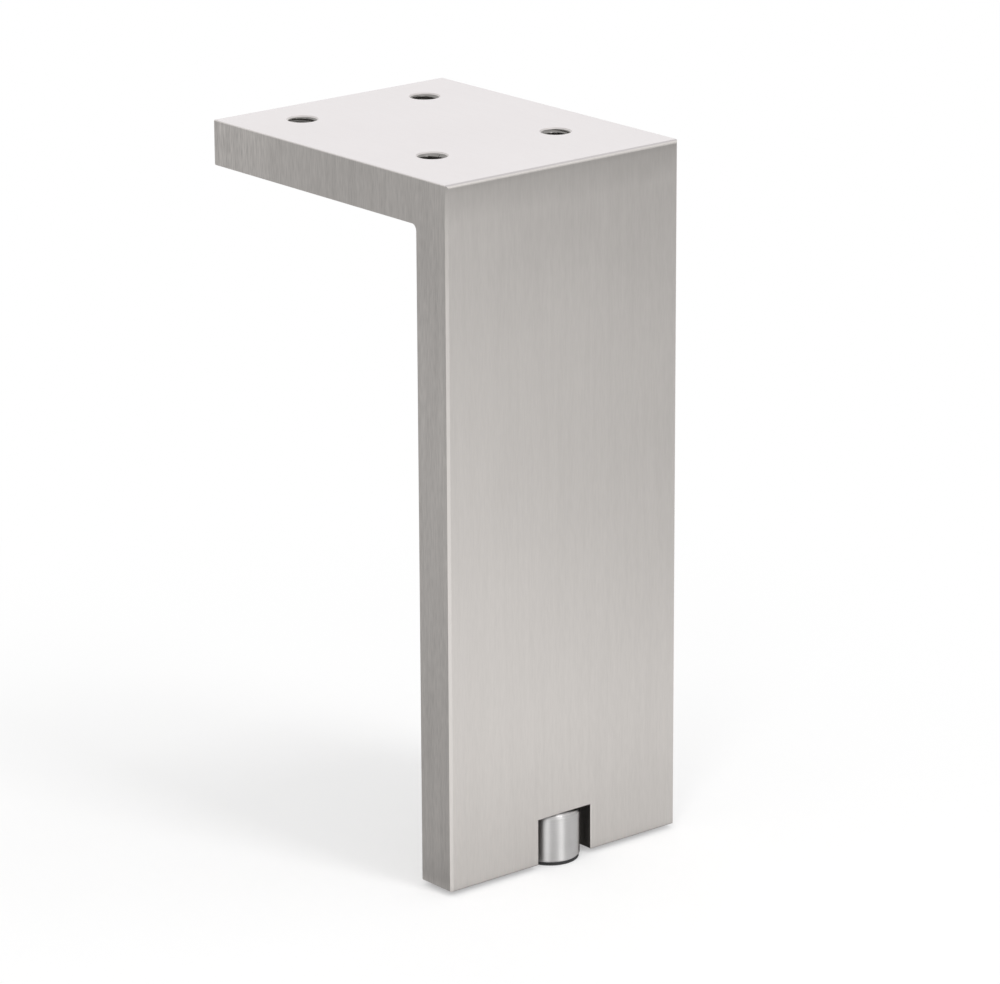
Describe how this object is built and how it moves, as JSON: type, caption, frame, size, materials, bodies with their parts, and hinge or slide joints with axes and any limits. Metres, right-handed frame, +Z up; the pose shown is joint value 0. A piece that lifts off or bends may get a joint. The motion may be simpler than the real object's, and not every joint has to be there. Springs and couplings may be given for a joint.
{
  "type": "adjustable furniture leg",
  "caption": "Solid metal L-shaped furniture leg: a short mounting arm with tapped holes, a flat upright plate, and a screw-adjusted levelling foot in a notch in its lower edge.",
  "frame": {"origin": "middle of the four tapped holes, on the mounting face", "axes": "+Z up out of the mounting face, +X across the leg, -Y towards the side that the leg's large outer face looks to; the arm runs back along +Y"},
  "size_m": [0.06, 0.0763, 0.1473],
  "materials": {
    "brushed_plate": "brushed satin, vertical grain",
    "turned_metal": "turned and polished",
    "screw_metal": "rolled thread, plain",
    "glide_plastic": "matt black"
  },
  "bodies": {
    "bracket": {"leg_bracket": "brushed_plate"},
    "glide": {"foot_glide": "glide_plastic"},
    "foot": {"foot_head": "turned_metal", "foot_stud": "screw_metal"}
  },
  "joints": [
    {"name": "foot_travel", "type": "slide", "parent": "bracket", "child": "glide", "axis": [0, 0, -1], "range_m": [-0.0002, 0.01]},
    {"name": "foot_turn", "type": "hinge", "parent": "glide", "child": "foot", "pos_m": [0, -0.03775, -0.1466], "axis": [0, 0, -1], "range_deg": [-72, 3600]}
  ],
  "couplings": [
    {"joint": "foot_travel", "follows": "foot_turn", "m_per_rad": 0.00015915}
  ]
}
